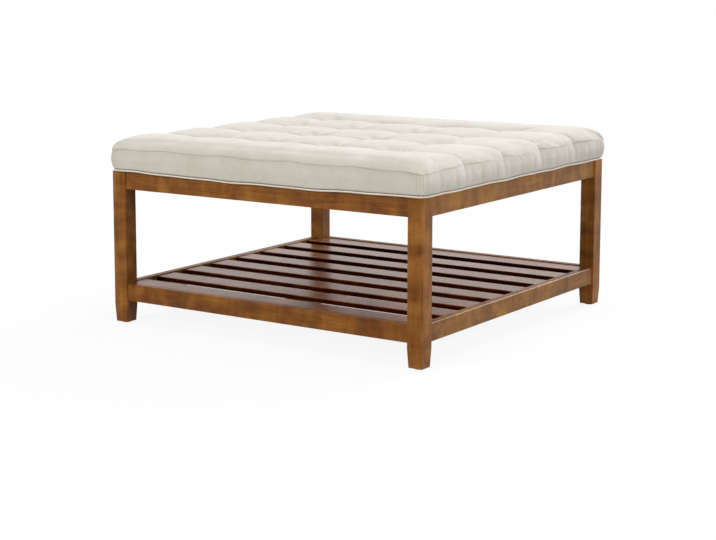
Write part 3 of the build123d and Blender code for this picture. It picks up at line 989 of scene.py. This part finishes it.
# Stitches on both sides of the four corner seams, laid on the finished cover. A thread has places as
# shares of its length, each lifted off the cloth or sunk into it.
stitch_pitch = 0.0042
stitch_length = 0.0032
stitch_radius = 0.0004
stitch_sides = 6
stitch_end_share = 0.2
stitch_over_hem = 0.006
stitch_under_seam = 0.005
thread_places = (0.0, 0.25, 0.5, 0.75, 1.0)
thread_lifts = (-0.0003, 0.0002, 0.0003, 0.0002, -0.0003)
search_from = 0.1


def smooth_mesh(name, places, faces):
    mesh = bpy.data.meshes.new(name)
    mesh.from_pydata(places, [], faces)
    mesh.polygons.foreach_set("use_smooth", [True] * len(faces))
    return mesh


def tube_along(points, radius, sides, places, faces):
    """Adds a closed tube with thin ends through a few points."""
    first = len(places)
    for index, point in enumerate(points):
        ahead = (points[min(index + 1, len(points) - 1)] - points[max(index - 1, 0)]).normalized()
        across = ahead.orthogonal().normalized()
        up = ahead.cross(across)
        thick = radius * (stitch_end_share if index in (0, len(points) - 1) else 1.0)
        for side in range(sides):
            angle = 2 * math.pi * side / sides
            places.append(point + (across * math.cos(angle) + up * math.sin(angle)) * thick)
    for index in range(len(points) - 1):
        for side in range(sides):
            here, after = first + index * sides, (side + 1) % sides
            faces.append((here + side, here + after, here + sides + after, here + sides + side))
    last = first + (len(points) - 1) * sides
    faces.append(tuple(first + side for side in reversed(range(sides))))
    faces.append(tuple(last + side for side in range(sides)))


def corner_stitches(cover):
    """Short threads up both sides of each corner seam, each with its ends sunk in the cloth."""
    tree = BVHTree.FromObject(cover, bpy.context.evaluated_depsgraph_get())
    # Every second corner is mirrored, so that distances from it run along the front or back
    flip = (Matrix.Identity(3), Matrix(((0, -1, 0), (-1, 0, 0), (0, 0, 1))))
    corner_arc = corner_radius * math.pi / 4
    places, faces = [], []
    levels = np.arange(boxing_bottom + stitch_over_hem, seam_level - stitch_under_seam, stitch_pitch)
    for quarter in range(4):
        turn = Matrix.Rotation(quarter * math.pi / 2, 3, "Z") @ flip[quarter % 2]
        middle = turn @ Vector((edge_half - corner_radius, corner_radius - edge_half, 0))
        for side in (-1, 1):
            along_front = corner_seam_place + side * stitch_offset
            around = min(along_front, corner_arc)
            swing = math.radians(45) - around / corner_radius
            out = turn @ Vector((math.sin(swing), -math.cos(swing), 0))
            back = turn @ Vector((around - along_front, 0, 0))
            for level in levels:
                thread = []
                for share, lift in zip(thread_places, thread_lifts):
                    height = Vector((0, 0, level + share * stitch_length))
                    found = tree.ray_cast(middle + back + height + out * search_from, -out)[0]
                    thread.append(found + out * lift)
                tube_along(thread, stitch_radius, stitch_sides, places, faces)
    return smooth_mesh("stitches", places, faces)


stitches = add_piece("corner_stitches", corner_stitches(cushion), tape_weave)


# Piping along the bottom edge of the boxing, its points closer together round the corners
piping_radius = 0.0021
piping_sides = 14
piping_bend = 0.97
bend_points = 9
straight_points = 97


def piping_loop(half, radius, height):
    """Points round a rounded square, a loop that follows the waves of the sewn bottom edge."""
    first_bend = np.linspace(-1, -piping_bend, bend_points)[:-1]
    straight = np.linspace(-piping_bend, piping_bend, straight_points)
    last_bend = np.linspace(piping_bend, 1, bend_points)[1:-1]
    x, y, _, _ = rounded_side(half, radius, np.concatenate([first_bend, straight, last_bend]))
    points = []
    for quarter in range(4):
        level = height + hem_wave(x, hem_sag if quarter % 2 == 0 else 0)
        points += np.stack([*turned(x, y, quarter), level], axis=1).tolist()
    return points


def tube(name, loop, radius, sides):
    """Closed tube along a nearly level loop of points."""
    count = len(loop)
    places, faces = [], []
    for index, point in enumerate(loop):
        ahead = Vector(loop[(index + 1) % count]) - Vector(loop[index - 1])
        across = ahead.cross(Vector((0, 0, 1))).normalized()
        for side in range(sides):
            angle = 2 * math.pi * side / sides
            up = Vector((0, 0, radius * math.sin(angle)))
            places.append(Vector(point) + across * radius * math.cos(angle) + up)
    for index in range(count):
        for side in range(sides):
            here, there = index * sides, (index + 1) % count * sides
            after = (side + 1) % sides
            faces.append((here + side, there + side, there + after, here + after))
    return smooth_mesh(name, places, faces)


loop = piping_loop(edge_half - piping_radius, corner_radius, (piping_low[2] + piping_high[2]) / 2)
piping = add_piece("piping", tube("piping", loop, piping_radius, piping_sides), piping_linen)
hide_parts("cushion_piping")


# Camera
def make_camera():
    """The fitted camera, with its axis off the picture's middle as a lens shift."""
    data = bpy.data.cameras.new("camera")
    data.sensor_fit = "HORIZONTAL"
    data.sensor_width = sensor_width
    data.lens = focal_pixels * sensor_width / image_width
    data.shift_x = (image_width / 2 - axis_pixel_x) / image_width
    data.shift_y = (axis_pixel_y - image_height / 2) / image_width
    data.clip_start = nearest_seen
    data.clip_end = farthest_seen
    run, drop = math.cos(camera_pitch), math.sin(camera_pitch)
    ahead = Vector((-math.sin(camera_yaw) * run, math.cos(camera_yaw) * run, -drop))
    right = Vector((math.cos(camera_yaw), math.sin(camera_yaw), 0))
    up = right.cross(ahead)
    tilted_right = math.cos(camera_roll) * right + math.sin(camera_roll) * up
    tilted_up = math.cos(camera_roll) * up - math.sin(camera_roll) * right
    turn = Matrix((tilted_right, tilted_up, -ahead)).transposed().to_4x4()
    camera = bpy.data.objects.new("camera", data)
    camera.matrix_world = Matrix.Translation(camera_place) @ turn
    bpy.context.collection.objects.link(camera)
    bpy.context.scene.camera = camera


make_camera()


# Floor, world and lamps
floor_reach = 40.0
world_level = 0.24
table_middle = (0, 0, 0.25)
cool_white = (0.95, 0.95, 1.0)
warm_white = (1.0, 0.985, 0.93)
plain_white = (1.0, 1.0, 1.0)


def seen_or_in_gloss(tree):
    """1 for what the camera sees and what gloss shows, 0 for what only lights."""
    path = tree.nodes.new("ShaderNodeLightPath")
    return maths(tree, "MAXIMUM", path.outputs["Is Camera Ray"], path.outputs["Is Glossy Ray"])


def pale_floor(bounce, shadow_share, shadow_reach, white_from):
    """Wide pale floor: white to the camera and in gloss but for its share of the table's shadow."""
    material, tree, shader = new_material("floor")
    seen = seen_or_in_gloss(tree)
    tree.links.new(blend(tree, "MIX", seen, (bounce,) * 3, plain_white), shader.inputs["Base Color"])
    shader.inputs["Roughness"].default_value = 1.0
    shader.inputs["Specular IOR Level"].default_value = 0.0
    length = tree.nodes.new("ShaderNodeVectorMath")
    length.operation = "LENGTH"
    tree.links.new(object_place(tree), length.inputs[0])
    share = span(tree, length.outputs["Value"], shadow_reach, white_from, 1 - shadow_share, 1.0)
    glow = tree.nodes.new("ShaderNodeEmission")
    mix = tree.nodes.new("ShaderNodeMixShader")
    tree.links.new(maths(tree, "MULTIPLY", seen, share), mix.inputs["Fac"])
    tree.links.new(shader.outputs["BSDF"], mix.inputs[1])
    tree.links.new(glow.outputs["Emission"], mix.inputs[2])
    output = next(node for node in tree.nodes if node.type == "OUTPUT_MATERIAL")
    tree.links.new(mix.outputs["Shader"], output.inputs["Surface"])
    mesh = bpy.data.meshes.new("floor")
    signs = ((-1, -1), (1, -1), (1, 1), (-1, 1))
    corners = [(x * floor_reach, y * floor_reach, 0) for x, y in signs]
    mesh.from_pydata(corners, [], [(0, 1, 2, 3)])
    mesh.materials.append(material)
    floor = bpy.data.objects.new("floor", mesh)
    bpy.context.collection.objects.link(floor)


def light_world(level):
    """White surroundings that light at a level and look white to the camera and in gloss."""
    world = bpy.data.worlds.new("world")
    world.use_nodes = True
    tree = world.node_tree
    tree.nodes.clear()
    output = tree.nodes.new("ShaderNodeOutputWorld")
    background = tree.nodes.new("ShaderNodeBackground")
    background.inputs["Color"].default_value = (1, 1, 1, 1)
    strength = span(tree, seen_or_in_gloss(tree), 0, 1, level, 1.0)
    tree.links.new(strength, background.inputs["Strength"])
    tree.links.new(background.outputs["Background"], output.inputs["Surface"])
    bpy.context.scene.world = world


def soft_lamp(name, place, side, watts, colour):
    """A square lamp that looks at the middle of the table."""
    data = bpy.data.lights.new(name, "AREA")
    data.shape = "SQUARE"
    data.size = side
    data.energy = watts
    data.color = colour
    lamp = bpy.data.objects.new(name, data)
    lamp.location = place
    lamp.rotation_euler = (Vector(table_middle) - Vector(place)).to_track_quat("-Z", "Y").to_euler()
    bpy.context.collection.objects.link(lamp)


pale_floor(bounce=0.32, shadow_share=0.10, shadow_reach=0.8, white_from=1.9)
light_world(world_level)
soft_lamp("lamp_above", (0.2, -0.3, 3.0), side=2.2, watts=13.4, colour=cool_white)
soft_lamp("lamp_front", (-0.9, -3.8, 1.9), side=1.1, watts=81, colour=warm_white)
soft_lamp("lamp_right", (3.0, -0.9, 1.5), side=1.0, watts=39.5, colour=warm_white)
soft_lamp("lamp_back", (0.9, 6.0, 2.9), side=2.4, watts=412, colour=cool_white)
soft_lamp("lamp_left", (-3.2, 0.6, 2.2), side=2.0, watts=15, colour=plain_white)
bpy.context.scene.view_settings.view_transform = "Standard"
